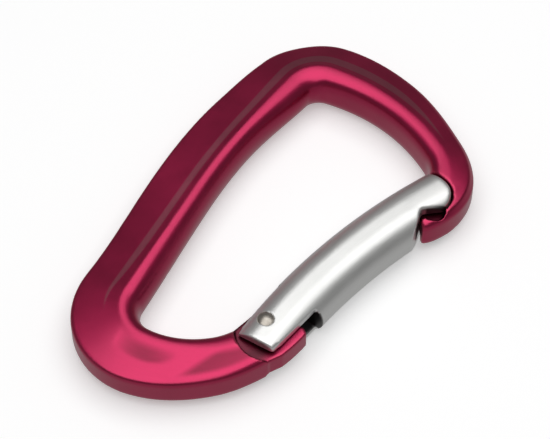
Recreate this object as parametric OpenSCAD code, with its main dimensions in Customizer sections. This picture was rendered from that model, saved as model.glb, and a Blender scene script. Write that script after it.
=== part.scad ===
// Bent-gate climbing carabiner, lying on its side.
// Row frame: +Y runs along the spine from the hinge end to the wide nose end, +X points to the gate,
// +Z is up through the thickness, and the part rests on z = 0. Sizes are in millimetres.
// The plan is drawn from the hook at the nose, around the frame and back to the hinge.

/* [Frame plan] */
// Length of the straight part of the spine
spine_length = 30.4; // [26:0.2:36.6]
// Radius of the ridge line around the nose
nose_radius = 14; // [13:0.25:15]
// Radius of the ridge line along the wide top arm
top_arm_radius = 47.8; // [44:0.2:52]
// Radius of the ridge line in the corner between top arm and spine
top_corner_radius = 7.8; // [7:0.1:9]
// Radius of the ridge line in the corner between spine and basket
low_corner_radius = 8.7; // [8:0.1:10]
// Radius of the ridge line along the basket at the hinge end
basket_radius = 27; // [25:0.25:29]

/* [Frame section] */
// Half of the frame's thickness at the ridge
ridge_height = 5; // [4.2:0.1:6]
// Half of the thickness of the outer rim
rim_height = 2.6; // [2.2:0.1:3.1]
// Width of the spine from its ridge to its outer rim
spine_depth = 9.9; // [8.3:0.1:11.9]

/* [Gate] */
// Width of the gate bar seen in plan
gate_width = 12.7; // [11.2:0.1:13.2]
// Thickness of the gate bar
gate_thickness = 10.8; // [9.4:0.1:11.4]
// How far the middle of the gate bows inward
gate_bow = 2.2; // [1.4:0.1:3]
// Diameter of the hinge rivet
rivet_diameter = 3.9; // [3:0.1:4.6]
// Thickness of the tang between the gate's cheeks
tang_thickness = 4.9; // [4:0.1:5.2]
// Thickness of the nose key inside the gate's slot
key_thickness = 3.6; // [3:0.1:4.2]

/* [Fits] */
// Radial running clearance of the rivet in the tang
rivet_clearance = 0.05; // [0.03:0.01:0.1]
// Gap on each side of the tang and of the nose key in their slots
slot_clearance = 0.3; // [0.25:0.01:0.4]
// Gap between the closed gate and the nose pocket
nose_clearance = 0.4; // [0.3:0.02:0.6]
// Gap between the push rod's tip and the tang's cam face
cam_clearance = 0.04; // [0.02:0.01:0.08]

/* [Hidden] */
$fn = 64;
eps = 0.01;
far = 40;

// ---- plan of the frame -------------------------------------------------------------------------
hook_start = [26.7, 11.2];
hook_heading = 35;
hook_radius = 7;
bend_radius = 140;

// A section is [ridge to inner wall, ridge to outer rim, half height at the ridge, half height of the rim].
hook_section = [2.4, 2.1, ridge_height - 1.4, rim_height];
path = [
    // [radius or 0 for straight, turn in degrees or length, rings, section at the end]
    [hook_radius, 30, 3, [3.4, 3, ridge_height - 0.5, rim_height]],
    [nose_radius, 41, 6, [4.5, 5.2, ridge_height, rim_height - 1]],
    [nose_radius, 40, 6, [4.5, 5, ridge_height, rim_height - 0.2]],
    [top_arm_radius, 20, 5, [4.6, 6.9, ridge_height, rim_height]],
    [top_arm_radius, 19, 5, [5.4, 7.7, ridge_height, rim_height]],
    [top_corner_radius, 38, 5, [5.6, 7.3, ridge_height, rim_height]],
    [top_corner_radius, 38, 5, [5.2, spine_depth - 1.4, ridge_height, rim_height]],
    [0, 14, 4, [3.8, spine_depth - 0.1, ridge_height - 0.1, rim_height]],
    [bend_radius, 9, 4, [3.5, spine_depth + 0.3, ridge_height - 0.2, rim_height]],
    [0, spine_length, 6, [4.2, spine_depth, ridge_height, rim_height]],
    [low_corner_radius, 45, 6, [4.1, spine_depth + 0.6, ridge_height, rim_height]],
    [low_corner_radius, 45, 6, [4, 10, ridge_height, rim_height]],
    [basket_radius, 33, 5, [4.9, 6.8, ridge_height, rim_height]],
    [basket_radius, 27, 4, [6.6, 4.6, ridge_height, rim_height]]
];

function ahead(angle) = [cos(angle), sin(angle)];
function outward(angle) = [sin(angle), -cos(angle)];
function step_end(place, seg, part) =
    let (heading = place[1], radius = seg[0], turn = seg[1] * part)
    radius == 0
    ? [place[0] + turn * ahead(heading), heading]
    : [place[0] + radius * (outward(heading + turn) - outward(heading)), heading + turn];
function path_start(i) =
    i == 0 ? [hook_start, hook_heading] : step_end(path_start(i - 1), path[i - 1], 1);
function mix(p, q, t) = p * (1 - t) + q * t;

// Sections change along the path on one smooth curve, with the same slope on both sides of each joint.
function stretch(i) = path[i][0] == 0 ? path[i][1] : path[i][0] * path[i][1] * PI / 180;
function section_at(i) = i == 0 ? hook_section : path[i - 1][3];
function rate(i) = (section_at(i + 1) - section_at(i)) / stretch(i);
function slope_at(i) =
    i == 0 || i == len(path)
    ? [0, 0, 0, 0]
    : (rate(i) * stretch(i - 1) + rate(i - 1) * stretch(i)) / (stretch(i) + stretch(i - 1));
function section_along(i, t) =
    (2 * t * t * t - 3 * t * t + 1) * section_at(i) + (3 - 2 * t) * t * t * section_at(i + 1)
    + stretch(i) * t * (1 - t) * ((1 - t) * slope_at(i) - t * slope_at(i + 1));

// Half of the closed outline, from the inner wall over the ridge to the rim.
inner_steps = 6;
rim_round = 0.8;
function upper(s) = concat(
    [for (i = [0:inner_steps]) [-s[0] * cos(i * 90 / inner_steps), s[2] * sin(i * 90 / inner_steps)]],
    [[s[1] - 1.1 * rim_round, s[3] + 0.5 * rim_round], [s[1] - 0.3 * rim_round, s[3] - 0.1 * rim_round],
     [s[1], s[3] - rim_round]]);
function outline(s) =
    let (top = upper(s), count = len(top))
    concat(top, [for (i = [count - 1:-1:1]) [top[i][0], -top[i][1]]]);
function ring(place, s) = [for (p = outline(s)) concat(place[0] + p[0] * outward(place[1]), [p[1]])];
frame_rings = [
    for (i = [0:len(path) - 1], k = [(i == 0 ? 0 : 1):path[i][2]])
        ring(step_end(path_start(i), path[i], k / path[i][2]),
             section_along(i, k / path[i][2]))
];

// A closed tube through rings of equal count, each clockwise as seen looking along the tube.
module skin(rings) {
    sides = len(rings[0]);
    last = len(rings) - 1;
    points = [for (r = rings, p = r) p];
    walls = [
        for (i = [0:last - 1], j = [0:sides - 1])
            let (a = i * sides + j, b = i * sides + (j + 1) % sides)
            each [[a, a + sides, b + sides], [a, b + sides, b]]
    ];
    caps = [[for (j = [0:sides - 1]) j], [for (j = [sides - 1:-1:0]) last * sides + j]];
    polyhedron(points, concat(walls, caps), convexity = 10);
}

// ---- where the row's origin is -----------------------------------------------------------------
all_x = [for (r = frame_rings, p = r) p[0]];
all_y = [for (r = frame_rings, p = r) p[1]];
middle = [(min(all_x) + max(all_x)) / 2, (min(all_y) + max(all_y)) / 2];
half_thickness = max(ridge_height, gate_thickness / 2) + 0.3;

module placed() {
    translate([-middle[0], -middle[1], half_thickness])
        children();
}

// ---- hinge and gate layout ---------------------------------------------------------------------
function turned(p, angle) = [p[0] * cos(angle) - p[1] * sin(angle), p[0] * sin(angle) + p[1] * cos(angle)];
function polar(p) = atan2(p[1], p[0]);
// The crossing of two circles, on the left of the line from the first centre to the second.
function crossing(c0, r0, c1, r1) =
    let (d = norm(c1 - c0), along = (d * d + r0 * r0 - r1 * r1) / (2 * d), u = (c1 - c0) / d)
    c0 + along * u + sqrt(r0 * r0 - along * along) * [-u[1], u[0]];

hinge_end = path_start(len(path));
rivet = hinge_end[0] + [-2.4, 2.2];
// Middle of the gate bar's width at the hinge and at the nose.
bar_foot = rivet + [1.77, 0];
bar_head = hook_start + [1.3, 8.4];
chord = bar_head - bar_foot;
bar_radius = norm(chord) * norm(chord) / (8 * gate_bow) + gate_bow / 2;
bar_centre = (bar_foot + bar_head) / 2
    + (bar_radius - gate_bow) * outward(polar(chord));
bar_tip_radius = norm(bar_head - rivet) + 3.8;
tip_corner = 4.6;
tip_round = crossing(rivet, bar_tip_radius - tip_corner, bar_centre, bar_radius);

// Push rod and spring lie in a straight bore that follows the bar's middle.
bore_radius = 2.3;
bore_turn = polar(chord) - 90 + 3.7;
slot_depth = 9.4;
bore_depth = 25;
rod_offset = 1;
rod_rest = 5.8;
rod_lead = 4;
tip_radius = 1.2;
rod_collar = [10, 11.6];
rod_collar_radius = bore_radius - 0.08;
// The gate opens until the rod's guide stem reaches the bottom of the bore.
gate_travel = 26;
rod_end = bore_depth - 0.1 - rod_lead * gate_travel * PI / 180;
wire_radius = 0.3;
coil_radius = bore_radius - wire_radius - 0.15;
coil_turns = 7;

module in_gate() {
    translate(concat(rivet, [0]))
        rotate(bore_turn)
            children();
}

module slab(thickness) {
    translate([0, 0, -thickness / 2])
        linear_extrude(thickness)
            children();
}

module at(p) {
    translate([p[0], p[1], 0])
        children();
}

// ---- frame -------------------------------------------------------------------------------------
hook_face = hook_start + [2.44, 0.6];
hook_face_turn = 38;
shoulder_centre = rivet + [1.2, -1.5];
shoulder_radius = 6.95;
shoulder_top_radius = 7.35;
tang_back_radius = 37.8;
tang_back_centre = rivet + [-29.1, 8.55];

// The tang's cam face keeps the rod's tip on it while the rod moves by rod_lead millimetres per radian.
function cam_point(angle) =
    let (
        s = rod_rest + rod_lead * angle * PI / 180,
        normal = [rod_offset + rod_lead, s] / norm([rod_offset + rod_lead, s]),
        local = [rod_offset, s] - (tip_radius + cam_clearance) * normal
    )
    turned(local, bore_turn + angle);
cam_from = -14;
cam_to = 31;
cam_points = [for (angle = [cam_from:3:cam_to]) rivet + cam_point(angle)];
tang_eye = 4.1;
tang_corner = 1.6;
tang_tip = rivet + [6.5, 1.95];
tang_root = rivet + [2.5, -11];

module tang_outline() {
    at(rivet)
        circle(tang_eye);
    at(tang_tip)
        circle(tang_corner);
    intersection() {
        at(tang_back_centre)
            circle(tang_back_radius, $fn = 160);
        polygon(concat(
            cam_points,
            [rivet + turned([-tang_eye, 0], -8), rivet + [-5.6, -4.4], rivet + [-6.5, -8], tang_root,
             rivet + [3.4, -9], rivet + [6.35, -4.6], tang_tip + [tang_corner + 1, 0],
             tang_tip + [0, tang_corner]]));
    }
}

// Plan of what the gate's tip needs beside the key, open towards the inside of the frame.
pocket_floor = hook_start + [1.9, 2.3];
module nose_pocket() {
    difference() {
        intersection() {
            at(rivet)
                circle(bar_tip_radius + nose_clearance, $fn = 200);
            at(hook_start + [-9, -9])
                square([30, 28]);
        }
        beside_tip(nose_clearance);
        polygon([pocket_floor - [0, 12], pocket_floor, pocket_floor + [2.9, 0.4], pocket_floor + [3.9, 1.7],
                 pocket_floor + [4, 3.7], pocket_floor + [20, 3.7], pocket_floor + [20, -12]]);
    }
}

// What lies outside the rounded outer side of the gate's tip.
module beside_tip(gap) {
    top = polar(tip_round - rivet);
    difference() {
        at(tip_round)
            polygon([[0, 0], 20 * ahead(top), 30 * ahead(top - 50), 20 * ahead(-25)]);
        at(tip_round)
            circle(tip_corner + gap);
    }
}

// Everything that the key must leave to the solid part of the gate.
key_inner_radius = norm(hook_start + [1.9, -0.2] - rivet);
key_angle = polar(bar_head - rivet) + 3.2;
module key_trim() {
    difference() {
        at(rivet)
            circle(bar_tip_radius + nose_clearance, $fn = 200);
        difference() {
            at(rivet)
                polygon([[0, 0], 2 * far * ahead(key_angle - 0.5), 2 * far * ahead(key_angle - 60)]);
            at(rivet)
                circle(key_inner_radius, $fn = 160);
        }
    }
}

module frame() {
    color("crimson")
        placed() {
            difference() {
                skin(frame_rings);
                at(shoulder_centre)
                    cylinder(r = shoulder_radius, h = far, center = true);
                for (side = [0, 180])
                    at(shoulder_centre)
                        rotate([side, 0, 0])
                            translate([0, 0, tang_thickness / 2])
                                cylinder(r1 = shoulder_radius, r2 = shoulder_top_radius,
                                         h = ridge_height + 1 - tang_thickness / 2);
                at(hook_face)
                    rotate(hook_face_turn)
                        translate([-far, -8, -far / 2])
                            cube([far, 14, far]);
                for (side = [-1, 1])
                    translate([0, 0, side * (key_thickness / 2 + far / 2)])
                        slab(far)
                            nose_pocket();
                slab(key_thickness + 2 * eps)
                    intersection() {
                        key_trim();
                        at(hook_start + [-9, -9])
                            square([30, 28]);
                    }
            }
            difference() {
                slab(tang_thickness)
                    tang_outline();
                at(rivet)
                    cylinder(r = rivet_diameter / 2 + rivet_clearance, h = far, center = true);
            }
        }
}

// ---- gate --------------------------------------------------------------------------------------
foot_reach = 5.5;
foot_corner = 1.4;
foot_turn = polar(chord) - 90 + 15;
notch_corner = hook_start + [1.25, 3.2];
notch_lean = [1.65, -10];
cheek_top = rivet + [7.5, 7.9];
cheek_foot = rivet + [4.3, -7];
module bar() {
    flat = (gate_width - gate_thickness) / 2;
    foot_angle = polar(bar_foot - bar_centre);
    at(bar_centre)
        rotate(foot_angle - 30)
            rotate_extrude(angle = 36, $fn = 160)
                translate([bar_radius, 0]) {
                    for (side = [-1, 1])
                        translate([side * flat, 0])
                            circle(gate_thickness / 2);
                    square([2 * flat, gate_thickness], center = true);
                }
}

module foot_plan() {
    wide = gate_width / 2 + 0.5;
    at(bar_foot)
        rotate(foot_turn) {
            translate([-wide, -foot_reach + foot_corner])
                square([2 * wide, far]);
            translate([-wide + foot_corner, -foot_reach])
                square([2 * (wide - foot_corner), foot_corner + eps]);
            for (side = [-1, 1])
                translate([side * (wide - foot_corner), foot_corner - foot_reach])
                    circle(foot_corner);
        }
}

module gate_plan() {
    difference() {
        intersection() {
            union() {
                foot_plan();
                at(bar_foot)
                    rotate(foot_turn)
                        translate([-far, 6])
                            square([2 * far, 2 * far]);
            }
            at(rivet)
                circle(bar_tip_radius, $fn = 200);
        }
        beside_tip(0);
        polygon([notch_corner + notch_lean, notch_corner, notch_corner + [6, 4.4], notch_corner + [12, 4.4],
                 notch_corner + [12, -10]]);
        polygon([cheek_top, cheek_foot, cheek_foot + [12, 0], cheek_top + 12 * ahead(bore_turn)]);
    }
}

module gate() {
    color("silver")
        placed()
            difference() {
                intersection() {
                    bar();
                    slab(far)
                        gate_plan();
                }
                slab(tang_thickness + 2 * slot_clearance)
                    in_gate()
                        translate([-far / 2, slot_depth - far])
                            square([far, far]);
                slab(key_thickness + 2 * slot_clearance)
                    difference() {
                        at(rivet)
                            polygon([[0, 0], 2 * far * ahead(key_angle), 2 * far * ahead(key_angle - 60)]);
                        at(rivet)
                            circle(key_inner_radius - nose_clearance, $fn = 160);
                    }
                in_gate()
                    translate([rod_offset, slot_depth - 1, 0])
                        rotate([-90, 0, 0])
                            cylinder(r = bore_radius, h = bore_depth - slot_depth + 1);
                at(rivet)
                    cylinder(d = rivet_diameter, h = far, center = true);
            }
}

module gate_rivet() {
    shank = gate_thickness - 0.6;
    head = rivet_diameter / 2;
    dome = half_thickness - shank / 2;
    dome_radius = (head * head + dome * dome) / (2 * dome);
    color("dimgray")
        placed()
            at(rivet) {
                cylinder(d = rivet_diameter, h = shank, center = true);
                for (side = [0, 180])
                    rotate([side, 0, 0])
                        translate([0, 0, shank / 2])
                            rotate_extrude()
                                intersection() {
                                    translate([0, dome - dome_radius])
                                        circle(dome_radius);
                                    square([head, dome]);
                                }
            }
}

module push_rod() {
    stem = tip_radius;
    guide = coil_radius - wire_radius - 0.3;
    color("gray")
        placed()
            in_gate()
                translate([rod_offset, 0, 0])
                    rotate([-90, 0, 0])
                        rotate_extrude() {
                            intersection() {
                                translate([0, rod_rest])
                                    circle(tip_radius);
                                square([far, far]);
                            }
                            translate([0, rod_rest])
                                square([stem, rod_collar[0] - rod_rest + eps]);
                            translate([0, rod_collar[0]])
                                square([rod_collar_radius, rod_collar[1] - rod_collar[0]]);
                            translate([0, rod_collar[1] - eps])
                                square([guide, rod_end - rod_collar[1] + eps]);
                        }
}

coil_sides = 8;
coil_steps = 16;
module gate_spring() {
    low = rod_collar[1] + wire_radius + 0.02;
    high = bore_depth - wire_radius - 0.02;
    count = coil_turns * coil_steps;
    rings = [
        for (i = [0:count])
            let (around = 360 * i / coil_steps, y = mix(low, high, i / count))
            [for (k = [0:coil_sides - 1])
                let (tilt = 360 * k / coil_sides, r = coil_radius + wire_radius * cos(tilt))
                [r * cos(around), y - wire_radius * sin(tilt), -r * sin(around)]]
    ];
    color("lightgray")
        placed()
            in_gate()
                translate([rod_offset, 0, 0])
                    skin(rings);
}

frame();
gate();
gate_rivet();
push_rod();
gate_spring();
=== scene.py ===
"""Bent-gate climbing carabiner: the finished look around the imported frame.

The solids are shaped in millimetres in the row frame and scaled to metres at the end of each build.
"""

import math

import bpy
import numpy as np
from mathutils import Matrix, Vector


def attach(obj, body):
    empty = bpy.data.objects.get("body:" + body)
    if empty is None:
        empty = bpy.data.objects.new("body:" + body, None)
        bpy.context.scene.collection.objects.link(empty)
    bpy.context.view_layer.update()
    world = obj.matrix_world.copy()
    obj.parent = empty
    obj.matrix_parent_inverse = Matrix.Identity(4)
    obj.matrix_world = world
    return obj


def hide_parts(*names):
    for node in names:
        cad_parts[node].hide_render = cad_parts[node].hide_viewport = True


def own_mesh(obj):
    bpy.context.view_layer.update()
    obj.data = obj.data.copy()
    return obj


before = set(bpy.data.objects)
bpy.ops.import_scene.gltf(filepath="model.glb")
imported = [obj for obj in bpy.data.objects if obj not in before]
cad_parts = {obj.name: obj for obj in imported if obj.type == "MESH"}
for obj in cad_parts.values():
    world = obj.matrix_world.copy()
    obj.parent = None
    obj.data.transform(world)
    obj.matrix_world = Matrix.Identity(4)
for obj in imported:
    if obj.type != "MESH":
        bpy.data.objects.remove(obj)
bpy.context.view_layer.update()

scene = bpy.context.scene
MM = 0.001

# ---- sizes shared with the CAD, in millimetres and degrees -----------------------------------------
MIDDLE = np.array([3.60662, -2.23984])
MID_Z = 5.7
FAR = 40.0
FINE = 720  # sides of a wide cutting circle
HOOK_START = np.array([26.7, 11.2]) - MIDDLE
HOOK_HEADING = 35.0
GATE_THICKNESS = 10.8
GATE_WIDTH = 12.7
GATE_BOW = 2.2
OPEN_ANGLE = 26.0
RIVET_DIAMETER = 3.9
TANG = 4.9
KEY = 3.6
SLOT_GAP = 0.3
NOSE_GAP = 0.4

# One row for each stretch of the ridge line: radius (0 for straight), turn in degrees or length, and at its end
# (ridge to inner wall, ridge to rim, half height at the ridge, half height of the rim, squareness of the inner
# side, ridge to the pale band, width of that band, how far the outer side is a level plateau).
START = (2.3, 2.1, 3.6, 2.6, 3.0, 1.2, 0.0, 0.3)
PATH = [
    (7.0, 30, (3.1, 3.0, 4.5, 2.6, 3.6, 1.2, 0.0, 0.6)),
    (14.0, 41, (4.3, 5.2, 5.0, 1.6, 4.0, 1.2, 0.0, 0.75)),
    (14.0, 40, (4.0, 5.0, 5.0, 2.4, 3.6, 1.2, 0.2, 0.5)),
    (47.8, 20, (3.85, 6.9, 5.0, 2.6, 3.4, 1.2, 1.8, 0.15)),
    (47.8, 19, (4.64, 7.7, 5.0, 2.6, 3.0, 1.2, 2.2, 0.0)),
    (7.8, 38, (5.21, 7.3, 5.0, 2.6, 2.4, 1.2, 2.1, 0.0)),
    (7.8, 38, (5.08, 8.5, 5.0, 2.6, 2.2, 1.3, 2.0, 0.0)),
    (0.0, 14, (3.67, 9.8, 4.9, 2.6, 2.2, 1.3, 1.6, 0.0)),
    (140.0, 9, (3.41, 10.2, 4.8, 2.6, 2.2, 1.4, 1.5, 0.0)),
    (0.0, 30.4, (4.11, 9.9, 5.0, 2.6, 2.2, 2.4, 0.9, 0.0)),
    (8.7, 45, (3.96, 10.5, 5.0, 2.6, 2.6, 3.4, 0.0, 0.0)),
    (8.7, 45, (3.28, 10.0, 5.0, 2.6, 3.0, 3.4, 0.0, 0.1)),
    (27.0, 33, (4.08, 6.8, 5.0, 2.6, 3.0, 3.4, 0.0, 0.3)),
    (27.0, 27, (6.01, 4.6, 5.0, 2.6, 2.8, 3.4, 0.0, 0.3)),
]


def ahead(angle):
    a = math.radians(angle)
    return np.array([math.cos(a), math.sin(a)])


def outward(angle):
    a = math.radians(angle)
    return np.array([math.sin(a), -math.cos(a)])


def polar(p):
    return math.degrees(math.atan2(p[1], p[0]))


def turned(p, angle):
    c, s = math.cos(math.radians(angle)), math.sin(math.radians(angle))
    return np.array([p[0] * c - p[1] * s, p[0] * s + p[1] * c])


def crossing(c0, r0, c1, r1):
    """The crossing of two circles, on the left of the line from the first centre to the second."""
    d = np.linalg.norm(c1 - c0)
    along = (d * d + r0 * r0 - r1 * r1) / (2 * d)
    u = (c1 - c0) / d
    return c0 + along * u + math.sqrt(r0 * r0 - along * along) * np.array([-u[1], u[0]])


STRETCHES = np.array([amount if radius == 0 else radius * math.radians(amount) for radius, amount, _ in PATH])
SECTIONS = np.array([START] + [row[2] for row in PATH])
RATES = np.diff(SECTIONS, axis=0) / STRETCHES[:, None]
SLOPES = np.zeros_like(SECTIONS)
BEFORE, AFTER = STRETCHES[:-1, None], STRETCHES[1:, None]
SLOPES[1:-1] = (RATES[1:] * BEFORE + RATES[:-1] * AFTER) / (AFTER + BEFORE)


def section_along(i, t):
    """The section at a share t of stretch i, on one smooth curve through all the rows."""
    ends = (2 * t**3 - 3 * t**2 + 1) * SECTIONS[i] + (3 - 2 * t) * t**2 * SECTIONS[i + 1]
    return ends + STRETCHES[i] * t * (1 - t) * ((1 - t) * SLOPES[i] - t * SLOPES[i + 1])


def walk(step):
    """Points, headings, section values and arc lengths along the ridge line, about step apart."""
    place, heading, run = HOOK_START, HOOK_HEADING, 0.0
    points, headings, sections, lengths = [place], [heading], [SECTIONS[0]], [0.0]
    for i, (radius, amount, _) in enumerate(PATH):
        count = max(2, round(STRETCHES[i] / step))
        for k in range(1, count + 1):
            t = k / count
            if radius == 0:
                p, h = place + amount * t * ahead(heading), heading
            else:
                h = heading + amount * t
                p = place + radius * (outward(h) - outward(heading))
            points.append(p)
            headings.append(h)
            sections.append(section_along(i, t))
            lengths.append(run + STRETCHES[i] * t)
        place, heading, run = p, h, run + STRETCHES[i]
    return np.array(points), np.array(headings), np.array(sections), np.array(lengths)


line_points, line_headings, line_sections, line_lengths = walk(0.6)
RIVET = line_points[-1] + np.array([-2.4, 2.2])
BAR_FOOT = RIVET + np.array([1.77, 0])
BAR_HEAD = HOOK_START + np.array([1.3, 8.4])
CHORD = BAR_HEAD - BAR_FOOT
CHORD_LENGTH = float(np.linalg.norm(CHORD))
CHORD_TURN = polar(CHORD)
BAR_RADIUS = CHORD_LENGTH**2 / (8 * GATE_BOW) + GATE_BOW / 2
BAR_CENTRE = (BAR_FOOT + BAR_HEAD) / 2 + (BAR_RADIUS - GATE_BOW) * outward(CHORD_TURN)
TIP_RADIUS = float(np.linalg.norm(BAR_HEAD - RIVET)) + 3.8
TIP_CORNER = 4.6
TIP_ROUND = crossing(RIVET, TIP_RADIUS - TIP_CORNER, BAR_CENTRE, BAR_RADIUS)
BORE_TURN = CHORD_TURN - 90 + 3.7


# ---- small mesh tools, all in millimetres ---------------------------------------------------------
def new_object(name, points, faces):
    mesh = bpy.data.meshes.new(name)
    mesh.from_pydata([tuple(map(float, p)) for p in points], [], [tuple(int(i) for i in f) for f in faces])
    mesh.update()
    obj = bpy.data.objects.new(name, mesh)
    scene.collection.objects.link(obj)
    return obj


def lofted(name, rings, closed=False):
    """A skin through rings of equal count, with its ends capped unless it closes on itself."""
    count, sides = len(rings), len(rings[0])
    points = [p for ring in rings for p in ring]
    faces = []
    for i in range(count if closed else count - 1):
        a, b = i * sides, (i + 1) % count * sides
        for j in range(sides):
            k = (j + 1) % sides
            faces.append((a + j, a + k, b + k, b + j))
    if not closed:
        faces.append(tuple(range(sides - 1, -1, -1)))
        faces.append(tuple((count - 1) * sides + j for j in range(sides)))
    return new_object(name, points, faces)


def prism(outline, low, high):
    rings = [[(p[0], p[1], z) for p in outline] for z in (low, high)]
    return lofted("tool", rings)


def round_ring(centre, radius, z, sides):
    angles = [2 * math.pi * k / sides for k in range(sides)]
    return [(centre[0] + radius * math.cos(a), centre[1] + radius * math.sin(a), z) for a in angles]


def drum(centre, low, high, radius, sides=192):
    return lofted("tool", [round_ring(centre, radius, z, sides) for z in (low, high)])


def combine(obj, tool, operation):
    """obj with tool taken away, added or used as a mask; the tool is used up."""
    modifier = obj.modifiers.new("combine", "BOOLEAN")
    modifier.operation = operation
    modifier.solver = "EXACT"
    modifier.object = tool
    graph = bpy.context.evaluated_depsgraph_get()
    mesh = bpy.data.meshes.new_from_object(obj.evaluated_get(graph))
    obj.modifiers.clear()
    obj.data = mesh
    bpy.data.objects.remove(tool)
    return obj


def cut(obj, tool):
    return combine(obj, tool, "DIFFERENCE")


def add(obj, tool):
    return combine(obj, tool, "UNION")


def keep(obj, tool):
    return combine(obj, tool, "INTERSECT")


def coords(mesh):
    co = np.empty(len(mesh.vertices) * 3, np.float32)
    mesh.vertices.foreach_get("co", co)
    return co.reshape(-1, 3).astype(float)


def set_coords(mesh, co):
    mesh.vertices.foreach_set("co", co.astype(np.float32).ravel())
    mesh.update()


def neighbour_mean(mesh, count):
    """A function that gives each vertex the mean of its neighbours' values."""
    edges = np.empty(len(mesh.edges) * 2, np.int32)
    mesh.edges.foreach_get("vertices", edges)
    a, b = edges[0::2], edges[1::2]
    degree = np.bincount(a, minlength=count) + np.bincount(b, minlength=count)

    def mean(values):
        total = np.empty_like(values)
        for c in range(values.shape[1]):
            total[:, c] = np.bincount(a, values[b, c], count) + np.bincount(b, values[a, c], count)
        return total / degree[:, None]

    return mean


def reskin(obj, voxel, rounds):
    """Rebuilds the surface on an even grid and eases it, so that every edge gets a small real radius."""
    modifier = obj.modifiers.new("grid", "REMESH")
    modifier.mode = "VOXEL"
    modifier.voxel_size = voxel
    modifier.use_smooth_shade = True
    graph = bpy.context.evaluated_depsgraph_get()
    mesh = bpy.data.meshes.new_from_object(obj.evaluated_get(graph))
    obj.modifiers.clear()
    obj.data = mesh
    co = coords(mesh)
    mean = neighbour_mean(mesh, len(co))
    for _ in range(rounds):
        co += 0.55 * (mean(co) - co)
        co -= 0.57 * (mean(co) - co)
    for _ in range(2):
        co += 0.4 * (mean(co) - co)
    set_coords(mesh, co)
    return obj


def soften(obj, share, rounds):
    """Rounds off edges where share, a function of the points, is above 0."""
    co = coords(obj.data)
    mean = neighbour_mean(obj.data, len(co))
    amount = 0.5 * share(co)[:, None]
    for _ in range(rounds):
        co += amount * (mean(co) - co)
    set_coords(obj.data, co)


def layer(mesh, name, values):
    kind = "FLOAT" if values.ndim == 1 else "FLOAT_VECTOR"
    attribute = mesh.attributes.new(name, kind, "POINT")
    key = "value" if values.ndim == 1 else "vector"
    attribute.data.foreach_set(key, values.astype(np.float32).ravel())


def edge_bend(obj, reach):
    """How many millimetres each vertex stands out from its surroundings: above 0 on edges, below in creases."""
    mesh = obj.data
    co = coords(mesh)
    normals = np.empty(len(co) * 3, np.float32)
    mesh.vertices.foreach_get("normal", normals)
    mean = neighbour_mean(mesh, len(co))
    soft = co.copy()
    for _ in range(reach):
        soft = mean(soft)
    bend = ((co - soft) * normals.reshape(-1, 3)).sum(1)
    return mean(bend[:, None])[:, 0]


def smooth_step(low, high, x):
    t = np.clip((x - low) / (high - low), 0, 1)
    return t * t * (3 - 2 * t)


def finish_mesh(obj, name):
    obj.name = name
    obj.data.name = name
    obj.data.transform(Matrix.Scale(MM, 4))
    obj.data.update()
    return obj


# ---- frame ----------------------------------------------------------------------------------------
FRAME_GRID = 0.24
INNER_STEPS = 22
OUTER_STEPS = 40
RIM_ROUND = 1.0
RIM_LIFT = 0.35  # how far the outer side stays above the rim's half height
KNEE = 1.1  # how far inside the rim a plateau starts to fall
BAND_SINK = 0.04  # depth of the pale band, as a share of its width
DISH_MIDDLE, DISH_REACH, DISH_DEPTH = -10.4, 6.6, 0.32
RAMP_START = np.array([-2.4, -44.6])
RAMP_SIDE = np.array([0.89, -0.455])
RAMP_DEPTH = 0.22


def basket_hollows(x, y, offset, rim):
    """Shares of the long dish and of the sloped flat beside it on the basket, in the plan of the row frame."""
    along = (x - DISH_MIDDLE) / DISH_REACH
    lip = 5.4 - 1.4 * np.clip(along, 0, 1) ** 2
    dish = np.clip(1 - along**2, 0, None) * smooth_step(0.4, 2.4, offset)
    dish = dish * (1 - smooth_step(lip - 1.9, lip, offset))
    beyond = (x - RAMP_START[0]) * RAMP_SIDE[0] + (y - RAMP_START[1]) * RAMP_SIDE[1]
    ramp = smooth_step(0, 1.6, beyond) * (1 - 0.4 * smooth_step(1, 9, beyond))
    ramp = ramp * smooth_step(-0.2, 1.6, offset) * (1 - smooth_step(rim - 2.9, rim - 1.5, offset))
    near_hinge = 1 - smooth_step(-31, -27, y)
    return dish * near_hinge, ramp * near_hinge


def half_outline(place, heading, section):
    """The upper half of a section as (outward, up) points, from the inner wall over the ridge to the rim."""
    a, c, high, low, square, start, sheen_band, plateau = section
    inner = []
    for i in range(INNER_STEPS):
        t = math.radians(90 * i / INNER_STEPS)
        inner.append((-a * math.cos(t) ** (2 / square), high * math.sin(t) ** (2 / square)))
    v = np.linspace(0, c - 0.35 * RIM_ROUND, OUTER_STEPS)
    facet = high - (high - low - RIM_LIFT) * v / c
    knee = max(c - KNEE, 0.6)
    before_knee = high - RIM_LIFT * (v / knee) ** 2
    fall = (np.clip(v - knee, 0, None) / (c - knee)) ** 1.4
    level = np.where(v < knee, before_knee, high - RIM_LIFT - (high - 2 * RIM_LIFT - low) * fall)
    share = min(max(plateau, 0), 1)
    z = facet * (1 - share) + level * share
    if sheen_band > 0.02:
        z = z - np.interp(v, [0, start, start + sheen_band], [0, BAND_SINK * sheen_band, 0])
    side = outward(heading)
    x, y = place[0] + v * side[0], place[1] + v * side[1]
    dish, ramp = basket_hollows(x, y, v, c)
    z = z - DISH_DEPTH * dish - RAMP_DEPTH * ramp
    outer = [(float(p), float(q)) for p, q in zip(v, z)]
    edge = outer[-1][1]
    outer.append((c - 0.08 * RIM_ROUND, edge - 0.35 * RIM_ROUND))
    outer.append((c, edge - RIM_ROUND))
    return inner + outer


rings = []
for place, heading, section in zip(line_points, line_headings, line_sections):
    top = half_outline(place, heading, section)
    whole = top + [(x, -z) for x, z in reversed(top[1:])]
    side = outward(heading)
    rings.append([(place[0] + x * side[0], place[1] + x * side[1], MID_Z + z) for x, z in whole])
hook = lofted("hook", rings)

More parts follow.
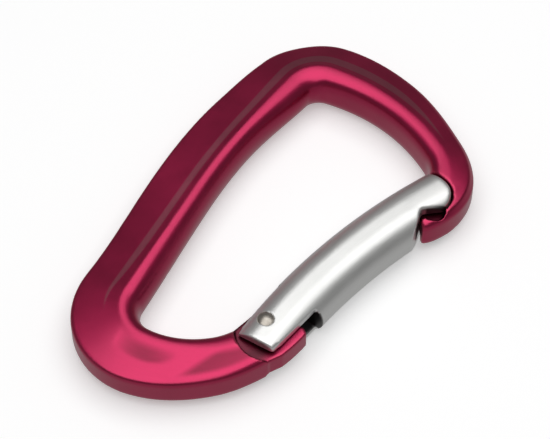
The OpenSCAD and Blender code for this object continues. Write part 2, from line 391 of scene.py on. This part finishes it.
SHOULDER = 6.95
SHOULDER_TOP = 7.35
SHOULDER_CENTRE = RIVET + [1.2, -1.5]
hook = cut(hook, drum(SHOULDER_CENTRE, -FAR, FAR, SHOULDER))
for sign in (1, -1):
    base = round_ring(SHOULDER_CENTRE, SHOULDER, MID_Z + sign * TANG / 2, 192)
    cone = [base, round_ring(SHOULDER_CENTRE, SHOULDER_TOP, MID_Z + sign * 6.0, 192)]
    hook = cut(hook, lofted("tool", cone if sign > 0 else cone[::-1]))


def box_outline(low, size):
    return [low, low + [size[0], 0], low + size, low + [0, size[1]]]


HOOK_FACE = HOOK_START + [2.44, 0.6]
HOOK_FACE_TURN = 38
face_box = [HOOK_FACE + turned(p, HOOK_FACE_TURN) for p in ((-FAR, -8), (0, -8), (0, 6), (-FAR, 6))]
hook = cut(hook, prism(face_box, -FAR, FAR))

nose_square = box_outline(HOOK_START - 9, np.array([30.0, 28.0]))


def beside_tip(gap):
    """What lies outside the rounded outer side of the gate's tip."""
    top = polar(TIP_ROUND - RIVET)
    rays = 20 * ahead(-25), 30 * ahead(top - 50), 20 * ahead(top)
    fan = [TIP_ROUND] + [TIP_ROUND + ray for ray in rays]
    return cut(prism(fan, -FAR, FAR), drum(TIP_ROUND, -FAR - 1, FAR + 1, TIP_CORNER + gap))


floor_corner = HOOK_START + [1.9, 2.3]
pocket = keep(prism(nose_square, -FAR, FAR), drum(RIVET, -FAR - 1, FAR + 1, TIP_RADIUS + NOSE_GAP, sides=FINE))
pocket = cut(pocket, beside_tip(NOSE_GAP))
hook_side = [[0.1, -12], [20, -12], [20, 3.7], [4.1, 3.7], [4.0, 1.6], [2.9, 0.2], [0.1, -0.5]]
pocket = cut(pocket, prism([floor_corner + p for p in hook_side], -FAR - 1, FAR + 1))
key_square = box_outline(HOOK_START - 20, np.array([60.0, 60.0]))
pocket = cut(pocket, prism(key_square, MID_Z - KEY / 2, MID_Z + KEY / 2))
hook = cut(hook, pocket)

KEY_INNER = float(np.linalg.norm(HOOK_START + [1.9, -0.2] - RIVET))
KEY_ANGLE = polar(BAR_HEAD - RIVET) + 3.2
slab = (MID_Z - KEY / 2 - 0.01, MID_Z + KEY / 2 + 0.01)
wedge = prism([RIVET, RIVET + 80 * ahead(KEY_ANGLE - 60), RIVET + 80 * ahead(KEY_ANGLE - 0.5)], -FAR, FAR)
wedge = cut(wedge, drum(RIVET, -FAR - 1, FAR + 1, KEY_INNER, sides=FINE))
trim = keep(prism(nose_square, *slab), drum(RIVET, -FAR, FAR, TIP_RADIUS + NOSE_GAP, sides=FINE))
hook = cut(hook, cut(trim, wedge))

# The tang, with the cam face that moves the push rod four millimetres for each radian.
ROD_OFFSET = 1.0
ROD_REST = 5.8
ROD_LEAD = 4.0
ROD_TIP = 1.2
TANG_EYE = 4.1
TANG_CORNER = 1.6
TANG_TIP = RIVET + [6.5, 1.95]
TANG_BACK, TANG_BACK_RADIUS = RIVET + [-29.1, 8.55], 37.8


def cam_point(angle):
    s = ROD_REST + ROD_LEAD * math.radians(angle)
    normal = np.array([ROD_OFFSET + ROD_LEAD, s]) / math.hypot(ROD_OFFSET + ROD_LEAD, s)
    return turned(np.array([ROD_OFFSET, s]) - (ROD_TIP + 0.04) * normal, BORE_TURN + angle)


tang_low, tang_high = MID_Z - TANG / 2, MID_Z + TANG / 2
corners = [RIVET + cam_point(angle) for angle in np.arange(-14, 31.5, 1.5)]
corners += [RIVET + turned([-TANG_EYE, 0], -8)]
corners += [RIVET + p for p in ([-5.6, -4.4], [-6.5, -8], [2.5, -11], [3.4, -9], [6.35, -4.6])]
corners += [TANG_TIP + [TANG_CORNER + 1, 0], TANG_TIP + [0, TANG_CORNER]]
tang = keep(prism(corners, tang_low, tang_high), drum(TANG_BACK, -FAR, FAR, TANG_BACK_RADIUS, sides=FINE))
tang = add(tang, drum(RIVET, tang_low, tang_high, TANG_EYE))
tang = add(tang, drum(TANG_TIP, tang_low, tang_high, TANG_CORNER, sides=96))
tang = cut(tang, drum(RIVET, -FAR, FAR, RIVET_DIAMETER / 2 + 0.05))
hook = add(hook, tang)
hook = reskin(hook, FRAME_GRID, 3)


def near_nose(co):
    return 1 - 0.85 * smooth_step(4.0, 5.5, np.hypot(*(co[:, :2] - HOOK_START - [3.2, 1.4]).T))


soften(hook, near_nose, 18)


def ridge_values(co):
    """For each point: arc length along the ridge line, distance outward from it, and the section there."""
    nearest = np.empty(len(co), int)
    for start in range(0, len(co), 20000):
        part = co[start : start + 20000, :2]
        gap = ((part[:, None, :] - line_points[None]) ** 2).sum(2)
        nearest[start : start + 20000] = gap.argmin(1)
    sides = np.stack([np.sin(np.radians(line_headings)), -np.cos(np.radians(line_headings))], 1)[nearest]
    offset = ((co[:, :2] - line_points[nearest]) * sides).sum(1)
    return line_lengths[nearest], offset, line_sections[nearest]


# What the material reads: the pale band with its painted sheen, the drawn grain's directions, painted shade in
# recesses and hollows, and edges.
hook_co = coords(hook.data)
height = abs(hook_co[:, 2] - MID_Z)
run, offset, section_here = ridge_values(hook_co)
to_inner, to_rim = section_here[:, 0], section_here[:, 1]
band_start, band_width = section_here[:, 5], section_here[:, 6]
# The pale band is a painted sheen: a greyer, lighter tone in the base colour stands in for a reflection on this
# facet.
sheen_band_share = smooth_step(-0.15, 0.25, offset - band_start)
sheen_band_share *= 1 - smooth_step(-0.25, 0.15, offset - band_start - band_width)
sheen_band_share *= smooth_step(0.1, 0.6, band_width) * smooth_step(1.5, 2.5, height)
layer(hook.data, "sheen_band", sheen_band_share)
layer(hook.data, "grain", np.stack([run, offset, hook_co[:, 2]], 1))
from_tip = np.hypot(*(hook_co[:, :2] - BAR_HEAD).T)
# Painted shade: the pocket beside the key and the seat under the gate's foot are darkened in the base colour
# where shade falls; the painted shadow on the seat stays when the gate swings open.
beside_key = smooth_step(1.4, 1.6, height) * (1 - smooth_step(1.9, 2.6, height))
beside_key *= 1 - smooth_step(6.5, 8.5, from_tip)
beside_key *= smooth_step(0.3, 0.7, offset + to_inner) * (1 - smooth_step(-1.0, -0.6, offset - to_rim))
from_shoulder = np.hypot(*(hook_co[:, :2] - SHOULDER_CENTRE).T)
under_foot = (1 - smooth_step(2.5, 5.5, hook_co[:, 0] - RIVET[0])) * smooth_step(2.2, 2.4, height)
under_foot *= (1 - smooth_step(2.6, 3.6, height)) * (1 - smooth_step(SHOULDER, SHOULDER + 0.3, from_shoulder))
layer(hook.data, "recess_shade", np.maximum(beside_key, under_foot))
# Painted shade: the dish and the sloped flat beside it are darkened in the base colour, on top of their real
# shallow dip.
dish, ramp = basket_hollows(hook_co[:, 0], hook_co[:, 1], offset, to_rim)
layer(hook.data, "hollow_shade", np.maximum(0.9 * dish, ramp) * smooth_step(1.5, 2.5, height))
layer(hook.data, "edge", edge_bend(hook, 8))
frame_piece = finish_mesh(hook, "anodised_frame")

# ---- gate -----------------------------------------------------------------------------------------
GATE_GRID = 0.2
BAR_STEPS, BAR_SIDES = 180, 96
FOOT_REACH = 5.5
FOOT_CORNER = 1.4
SLOT_DEPTH = 9.4
BORE_RADIUS = 2.3
BORE_DEPTH = 25.0


def bar_section(angle):
    """An oval of two half circles joined by short flats."""
    flat = (GATE_WIDTH - GATE_THICKNESS) / 2
    a = math.radians(angle)
    x, z = math.cos(a) * GATE_THICKNESS / 2, math.sin(a) * GATE_THICKNESS / 2
    return x + math.copysign(flat, x), z


foot_angle = polar(BAR_FOOT - BAR_CENTRE)
bar_rings = []
for step in range(BAR_STEPS + 1):
    direction = ahead(foot_angle - 30 + 36 * step / BAR_STEPS)
    ring = []
    for k in range(BAR_SIDES):
        x, z = bar_section(360 * (k + 0.5) / BAR_SIDES)
        p = BAR_CENTRE + (BAR_RADIUS + x) * direction
        ring.append((p[0], p[1], MID_Z + z))
    bar_rings.append(ring[::-1])
bar = lofted("bar", bar_rings)

foot_turn = CHORD_TURN - 90 + 15
wide = GATE_WIDTH / 2 + 0.5


def foot_corner(side, start):
    """A rounded corner of the gate's square foot, in the foot's own directions."""
    centre = np.array([side * (wide - FOOT_CORNER), FOOT_CORNER - FOOT_REACH])
    return [centre + FOOT_CORNER * ahead(start + 90 * k / 12) for k in range(13)]


above_foot = [(wide, 6), (FAR, 6), (FAR, 2 * FAR), (-FAR, 2 * FAR), (-FAR, 6), (-wide, 6)]
foot = foot_corner(1, -90) + above_foot + foot_corner(-1, 180)
bar = keep(bar, prism([BAR_FOOT + turned(p, foot_turn) for p in foot], -FAR, FAR))
bar = keep(bar, drum(RIVET, -FAR, FAR, TIP_RADIUS, sides=FINE))
bar = cut(bar, beside_tip(0))

NOTCH_RISE = [6, 4.4]
notch = HOOK_START + [1.25, 3.2]
bar = cut(bar, prism([notch + p for p in ([1.65, -10], [12, -10], [12, 4.4], NOTCH_RISE, [0, 0])], -FAR, FAR))

cheek_top, cheek_foot = RIVET + [7.5, 7.9], RIVET + [4.3, -7]
beyond_cheek = [cheek_top, cheek_foot, cheek_foot + [12, 0], cheek_top + 12 * ahead(BORE_TURN)]
bar = cut(bar, prism(beyond_cheek, -FAR, FAR))


def gate_outline(points):
    return [RIVET + turned(p, BORE_TURN) for p in points]


half_slot = TANG / 2 + SLOT_GAP
slot_box = gate_outline([(-20, SLOT_DEPTH - FAR), (20, SLOT_DEPTH - FAR), (20, SLOT_DEPTH), (-20, SLOT_DEPTH)])
bar = cut(bar, prism(slot_box, MID_Z - half_slot, MID_Z + half_slot))
half_key = KEY / 2 + SLOT_GAP
key_fan = [RIVET, RIVET + 80 * ahead(KEY_ANGLE - 60), RIVET + 80 * ahead(KEY_ANGLE)]
wedge = prism(key_fan, MID_Z - half_key, MID_Z + half_key)
bar = cut(bar, cut(wedge, drum(RIVET, -FAR, FAR, KEY_INNER - NOSE_GAP, sides=FINE)))


def gate_matrix(along):
    """Puts a piece turned about its own Z on the push rod's line, along millimetres from the rivet."""
    direction = turned(np.array([0.0, 1.0]), BORE_TURN)
    origin = RIVET + turned(np.array([ROD_OFFSET, along]), BORE_TURN)
    turn = Vector((direction[0], direction[1], 0)).to_track_quat("Z", "Y").to_matrix().to_4x4()
    return Matrix.Translation((origin[0], origin[1], MID_Z)) @ turn


def turned_piece(name, profile, sides=96):
    """A solid of revolution about Z through (radius, height) points."""
    return lofted(name, [round_ring((0, 0), max(r, 0.001), z, sides) for r, z in profile])


bore = turned_piece("tool", [(BORE_RADIUS, SLOT_DEPTH - 1), (BORE_RADIUS, BORE_DEPTH)])
bore.data.transform(gate_matrix(0))
bar = cut(bar, bore)
bar = cut(bar, drum(RIVET, -FAR, FAR, RIVET_DIAMETER / 2 - 0.35))
bar = reskin(bar, GATE_GRID, 3)


def near_bar_ends(co):
    tip = 1 - smooth_step(5.5, 7.5, np.hypot(*(co[:, :2] - BAR_HEAD - [0.6, -0.4]).T))
    along = (co[:, :2] - BAR_FOOT) @ turned(np.array([0.0, 1.0]), foot_turn)
    return np.maximum(tip, 1 - smooth_step(-4.2, -3.2, along))


soften(bar, near_bar_ends, 36)
bar_co = coords(bar.data)
from_centre = bar_co[:, :2] - BAR_CENTRE
along_bar = np.arctan2(from_centre[:, 1], -from_centre[:, 0]) * BAR_RADIUS
across_bar = np.hypot(*from_centre.T) - BAR_RADIUS
layer(bar.data, "grain", np.stack([along_bar, across_bar, bar_co[:, 2]], 1))
layer(bar.data, "edge", edge_bend(bar, 8))
up_the_bar = (bar_co[:, :2] - RIVET) @ turned(np.array([0.0, 1.0]), BORE_TURN)
bar_height = abs(bar_co[:, 2] - MID_Z)
# Painted shade: the inside of the slot and the wall of the notch are darkened almost to black in the base
# colour.
in_slot = 1 - smooth_step(half_slot, half_slot + 0.35, bar_height)
in_slot *= 1 - smooth_step(SLOT_DEPTH + 0.1, SLOT_DEPTH + 0.5, up_the_bar)
notch_side = np.array(NOTCH_RISE) / math.hypot(*NOTCH_RISE)
from_notch = bar_co[:, :2] - notch
off_notch = abs(from_notch[:, 0] * notch_side[1] - from_notch[:, 1] * notch_side[0])
in_notch = (1 - smooth_step(0.3, 0.6, off_notch)) * (1 - smooth_step(4.2, 5.0, bar_height))
in_notch *= smooth_step(0.5, 1.2, from_notch @ notch_side)
layer(bar.data, "recess_shade", np.maximum(in_slot, in_notch))
gate_piece = finish_mesh(bar, "gate_bar")


# ---- rivet, push rod and spring -------------------------------------------------------------------
head = RIVET_DIAMETER / 2 - 0.02
shank = GATE_THICKNESS / 2 - 0.3
dome = MID_Z - shank
dome_radius = (head * head + dome * dome) / (2 * dome)
half_profile = [(head - 0.06, shank - 0.12), (head, shank)]
DOME_STEPS = 14
opening = math.asin(head / dome_radius)
for k in range(DOME_STEPS + 1):
    a = opening * (1 - k / DOME_STEPS)
    z = shank + dome - 0.02 - dome_radius * (1 - math.cos(a))
    half_profile.append((0.985 * dome_radius * math.sin(a), z))
rivet_profile = [(r, -z) for r, z in reversed(half_profile)] + half_profile
rivet = turned_piece("rivet", rivet_profile, 72)
rivet.data.transform(Matrix.Translation((RIVET[0], RIVET[1], MID_Z)))
rivet.data.polygons.foreach_set("use_smooth", [True] * len(rivet.data.polygons))
rivet_piece = finish_mesh(rivet, "hinge_rivet")

COLLAR = (10.0, 11.6)
COLLAR_RADIUS = BORE_RADIUS - 0.08
WIRE = 0.3
COIL = BORE_RADIUS - WIRE - 0.15
GUIDE = COIL - WIRE - 0.3
ROD_END = BORE_DEPTH - 0.1 - ROD_LEAD * math.radians(OPEN_ANGLE)
CHAMFER = 0.15
rod_profile = [np.array([0, ROD_REST]) + ROD_TIP * ahead(-90 + 90 * k / 12) for k in range(13)]
rod_profile += [(ROD_TIP, COLLAR[0] - 0.25), (ROD_TIP + 0.2, COLLAR[0]), (COLLAR_RADIUS - CHAMFER, COLLAR[0])]
rod_profile += [(COLLAR_RADIUS, COLLAR[0] + CHAMFER), (COLLAR_RADIUS, COLLAR[1] - CHAMFER)]
rod_profile += [(COLLAR_RADIUS - CHAMFER, COLLAR[1]), (GUIDE, COLLAR[1])]
rod_profile += [(GUIDE, ROD_END - 2 * CHAMFER), (GUIDE - 2 * CHAMFER, ROD_END)]
rod = turned_piece("rod", rod_profile, 64)
rod.data.transform(gate_matrix(0))
rod.data.polygons.foreach_set("use_smooth", [True] * len(rod.data.polygons))
rod_piece = finish_mesh(rod, "push_rod_pin")

coil_low, coil_high = COLLAR[1] + WIRE + 0.02, BORE_DEPTH - WIRE - 0.02
COIL_TURNS, COIL_STEPS, WIRE_SIDES = 7, 36, 12
coil_rise = (coil_high - coil_low) / COIL_TURNS / (2 * math.pi * COIL)
coil_rings = []
for k in range(COIL_TURNS * COIL_STEPS + 1):
    around = 2 * math.pi * k / COIL_STEPS
    out = np.array([math.cos(around), math.sin(around), 0])
    tangent = np.array([-math.sin(around), math.cos(around), coil_rise]) / math.hypot(1, coil_rise)
    over = np.cross(out, tangent)
    middle = COIL * out + np.array([0, 0, coil_low + (coil_high - coil_low) * k / (COIL_TURNS * COIL_STEPS)])
    sides = [2 * math.pi * b / WIRE_SIDES for b in range(WIRE_SIDES)]
    coil_rings.append([tuple(middle + 0.97 * WIRE * (math.cos(b) * out + math.sin(b) * over)) for b in sides])
spring = lofted("spring", coil_rings)
spring.data.transform(gate_matrix(0))
spring.data.polygons.foreach_set("use_smooth", [True] * len(spring.data.polygons))
spring_piece = finish_mesh(spring, "gate_spring_coil")


# ---- materials ------------------------------------------------------------------------------------
class Finish:
    """A material with its node tree and short ways to add and join nodes."""

    def __init__(self, name):
        self.material = bpy.data.materials.new(name)
        self.material.use_nodes = True
        self.tree = self.material.node_tree
        self.shader = next(n for n in self.tree.nodes if n.type == "BSDF_PRINCIPLED")

    def node(self, kind, **settings):
        made = self.tree.nodes.new(kind)
        for key, value in settings.items():
            setattr(made, key, value)
        return made

    def join(self, source, target):
        self.tree.links.new(source, target)

    def attribute(self, name):
        return self.node("ShaderNodeAttribute", attribute_name=name)

    def noise(self, vector, scale, detail=3.0, roughness=0.6):
        made = self.node("ShaderNodeTexNoise")
        made.inputs["Scale"].default_value = scale
        made.inputs["Detail"].default_value = detail
        made.inputs["Roughness"].default_value = roughness
        if vector is not None:
            self.join(vector, made.inputs["Vector"])
        return made.outputs["Fac"]

    def stretched(self, vector, scale):
        made = self.node("ShaderNodeVectorMath", operation="MULTIPLY")
        self.join(vector, made.inputs[0])
        made.inputs[1].default_value = scale
        return made.outputs[0]

    def range(self, value, low, high, out_low, out_high):
        made = self.node("ShaderNodeMapRange")
        self.join(value, made.inputs["Value"])
        made.inputs["From Min"].default_value = low
        made.inputs["From Max"].default_value = high
        made.inputs["To Min"].default_value = out_low
        made.inputs["To Max"].default_value = out_high
        return made.outputs["Result"]

    def math(self, operation, first, second):
        made = self.node("ShaderNodeMath", operation=operation)
        for place, value in enumerate((first, second)):
            if isinstance(value, (int, float)):
                made.inputs[place].default_value = value
            else:
                self.join(value, made.inputs[place])
        return made.outputs[0]

    def blend(self, factor, first, second):
        made = self.node("ShaderNodeMix", data_type="RGBA")
        self.join(factor, made.inputs["Factor"])
        for name, value in (("A", first), ("B", second)):
            socket = next(s for s in made.inputs if s.name == name and s.type == "RGBA")
            if isinstance(value, tuple):
                socket.default_value = (*value, 1)
            else:
                self.join(value, socket)
        return next(s for s in made.outputs if s.type == "RGBA")

    def bump(self, height, strength, distance, below=None):
        made = self.node("ShaderNodeBump")
        made.inputs["Strength"].default_value = strength
        made.inputs["Distance"].default_value = distance
        self.join(height, made.inputs["Height"])
        if below is not None:
            self.join(below, made.inputs["Normal"])
        return made.outputs["Normal"]

    def set(self, **values):
        names = {
            "metallic": "Metallic",
            "coat": "Coat Weight",
            "coat_roughness": "Coat Roughness",
            "coat_ior": "Coat IOR",
            "specular": "Specular IOR Level",
        }
        for key, value in values.items():
            self.shader.inputs[names[key]].default_value = value


def anodised_red():
    f = Finish("anodised_aluminium")
    grain = f.attribute("grain").outputs["Vector"]
    place = f.node("ShaderNodeTexCoord").outputs["Object"]
    cloud = f.noise(place, 90, 4)
    speck = f.noise(place, 2600, 3, 0.7)
    drawn = f.noise(f.stretched(grain, (0.12, 2.4, 2.4)), 1.6, 4)
    colour = f.blend(f.range(cloud, 0.3, 0.7, 0, 1), (0.43, 0.016, 0.078), (0.50, 0.020, 0.092))
    colour = f.blend(f.range(drawn, 0.35, 0.75, 0, 0.16), colour, (0.36, 0.012, 0.062))
    # Painted sheen: the pale band's grey-pink stands in for a reflection.
    colour = f.blend(f.range(f.attribute("sheen_band").outputs["Fac"], 0, 1, 0, 0.6), colour, (0.36, 0.13, 0.165))
    on_edge = f.range(f.attribute("edge").outputs["Fac"], 0.03, 0.10, 0, 1)
    worn = f.math("MULTIPLY", on_edge, f.range(speck, 0.35, 0.7, 0.2, 1))
    colour = f.blend(f.math("MULTIPLY", worn, 0.35), colour, (0.62, 0.10, 0.16))
    # Painted shade in the dish and the sloped flat beside it.
    colour = f.blend(f.range(f.attribute("hollow_shade").outputs["Fac"], 0, 1, 0, 0.85), colour, (0.16, 0.004, 0.026))
    # Painted shade: the key pocket and the seat under the gate's foot, darkened almost to black.
    colour = f.blend(f.range(f.attribute("recess_shade").outputs["Fac"], 0, 1, 0, 0.85), colour, (0.05, 0.003, 0.01))
    f.join(colour, f.shader.inputs["Base Color"])
    rough = f.range(cloud, 0.3, 0.7, 0.30, 0.37)
    rough = f.math("ADD", rough, f.range(speck, 0.3, 0.7, -0.03, 0.04))
    f.join(rough, f.shader.inputs["Roughness"])
    f.set(metallic=1.0, coat=0.36, coat_roughness=0.22, coat_ior=1.5)
    fine = f.bump(speck, 0.10, 0.00004)
    f.join(f.bump(drawn, 0.12, 0.00008, fine), f.shader.inputs["Normal"])
    return f.material


def satin_aluminium():
    f = Finish("satin_aluminium")
    grain = f.attribute("grain").outputs["Vector"]
    place = f.node("ShaderNodeTexCoord").outputs["Object"]
    cloud = f.noise(place, 120, 3)
    streak = f.noise(f.stretched(grain, (0.10, 5.0, 5.0)), 2.2, 5, 0.65)
    speck = f.noise(place, 3000, 2, 0.6)
    colour = f.blend(f.range(streak, 0.3, 0.7, 0, 1), (0.76, 0.76, 0.745), (0.83, 0.83, 0.815))
    edge = f.attribute("edge").outputs["Fac"]
    colour = f.blend(f.range(edge, 0.03, 0.10, 0, 0.35), colour, (0.84, 0.84, 0.83))
    # Painted shade: creases on the gate are darkened in the base colour.
    colour = f.blend(f.range(edge, -0.10, -0.03, 0.5, 0), colour, (0.22, 0.21, 0.21))
    # Painted shade in the slot and the notch.
    colour = f.blend(f.range(f.attribute("recess_shade").outputs["Fac"], 0, 1, 0, 0.9), colour, (0.03, 0.028, 0.028))
    f.join(colour, f.shader.inputs["Base Color"])
    rough = f.math("ADD", f.range(streak, 0.3, 0.7, 0.37, 0.45), f.range(cloud, 0.3, 0.7, -0.02, 0.03))
    f.join(rough, f.shader.inputs["Roughness"])
    f.set(metallic=1.0)
    fine = f.bump(speck, 0.06, 0.00003)
    f.join(f.bump(streak, 0.14, 0.00006, fine), f.shader.inputs["Normal"])
    return f.material


def plain_steel(name, light, dark, low, high, stretch):
    """Steel with fine scratches; low and high are its least and greatest roughness."""
    f = Finish(name)
    place = f.node("ShaderNodeTexCoord").outputs["Object"]
    cloud = f.noise(place, 700, 4)
    scratch = f.noise(f.stretched(place, stretch), 900, 3, 0.7)
    f.join(f.blend(f.range(cloud, 0.3, 0.7, 0, 1), dark, light), f.shader.inputs["Base Color"])
    f.join(f.range(scratch, 0.3, 0.7, low, high), f.shader.inputs["Roughness"])
    f.set(metallic=1.0)
    f.join(f.bump(scratch, 0.2, 0.00004), f.shader.inputs["Normal"])
    return f.material


def paint(obj, material):
    obj.data.materials.clear()
    obj.data.materials.append(material)


paint(frame_piece, anodised_red())
paint(gate_piece, satin_aluminium())
stainless = plain_steel("stainless_rivet", (0.50, 0.46, 0.41), (0.34, 0.31, 0.27), 0.26, 0.42, (1, 1, 0.3))
paint(rivet_piece, stainless)
paint(rod_piece, plain_steel("turned_steel", (0.46, 0.46, 0.47), (0.34, 0.34, 0.35), 0.2, 0.34, (0.3, 1, 1)))
paint(spring_piece, plain_steel("spring_wire", (0.42, 0.42, 0.43), (0.3, 0.3, 0.31), 0.22, 0.36, (1, 1, 1)))

for piece, node, body, finish in (
    (frame_piece, "frame", "frame_body", "frame"),
    (gate_piece, "gate", "gate_body", "gate"),
    (rivet_piece, "gate_rivet", "gate_body", "rivet"),
    (rod_piece, "push_rod", "push_rod_body", "rod"),
    (spring_piece, "gate_spring", "gate_body", "spring"),
):
    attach(piece, body)
    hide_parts(node)

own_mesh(spring_piece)

# ---- floor, light and camera ----------------------------------------------------------------------
floor = new_object("floor", [(-4, -4, 0), (4, -4, 0), (4, 4, 0), (-4, 4, 0)], [(0, 1, 2, 3)])
floor.visible_glossy = False
f = Finish("pale_floor")
f.shader.inputs["Base Color"].default_value = (0.86, 0.86, 0.86, 1)
f.shader.inputs["Roughness"].default_value = 0.9
f.shader.inputs["Emission Color"].default_value = (1, 1, 1, 1)
f.shader.inputs["Emission Strength"].default_value = 0.34
f.set(specular=0.1)
paint(floor, f.material)


def softbox(name, place, target, size, power):
    data = bpy.data.lights.new(name, "AREA")
    data.shape = "RECTANGLE"
    data.size, data.size_y = size
    data.energy = power
    lamp = bpy.data.objects.new(name, data)
    scene.collection.objects.link(lamp)
    lamp.location = place
    lamp.rotation_euler = (Vector(target) - Vector(place)).to_track_quat("-Z", "Y").to_euler()
    return lamp


def power_for(radiance, size):
    """The power in watts of a flat light that looks this bright."""
    return radiance * math.pi * size[0] * size[1]


softbox("overhead", (0.02, 0.0, 0.6), (0.02, 0.0, 0), (0.72, 0.86), power_for(1.7, (0.72, 0.86)))

world = bpy.data.worlds.new("studio")
scene.world = world
world.use_nodes = True
sky = world.node_tree
direction = sky.nodes.new("ShaderNodeTexCoord")
split = sky.nodes.new("ShaderNodeSeparateXYZ")
tone = sky.nodes.new("ShaderNodeMapRange")
sky.links.new(direction.outputs["Generated"], split.inputs["Vector"])
sky.links.new(split.outputs["Z"], tone.inputs["Value"])
for socket, value in (("From Min", -0.15), ("From Max", 0.25), ("To Min", 0.42), ("To Max", 0.17)):
    tone.inputs[socket].default_value = value
sky.links.new(tone.outputs["Result"], sky.nodes["Background"].inputs["Color"])

camera_data = bpy.data.cameras.new("camera")
camera_data.sensor_width = 36
camera_data.lens = 157.07
camera_data.clip_start = 0.01
camera_data.clip_end = 20
camera = bpy.data.objects.new("camera", camera_data)
scene.collection.objects.link(camera)
scene.camera = camera
VIEW_TURN, VIEW_HEIGHT, VIEW_DISTANCE = math.radians(28.3), math.radians(55), 0.517
right = Vector((math.cos(VIEW_TURN), math.sin(VIEW_TURN), 0))
level_back = Vector((math.sin(VIEW_TURN), -math.cos(VIEW_TURN), 0))
back = level_back * math.cos(VIEW_HEIGHT) + Vector((0, 0, math.sin(VIEW_HEIGHT)))
look_at = Vector((-MIDDLE[0] * MM, -MIDDLE[1] * MM, MID_Z * MM))
view_axes = Matrix((right, back.cross(right), back)).transposed().to_4x4()
camera.matrix_world = Matrix.Translation(look_at + back * VIEW_DISTANCE) @ view_axes

scene.view_settings.view_transform = "Standard"
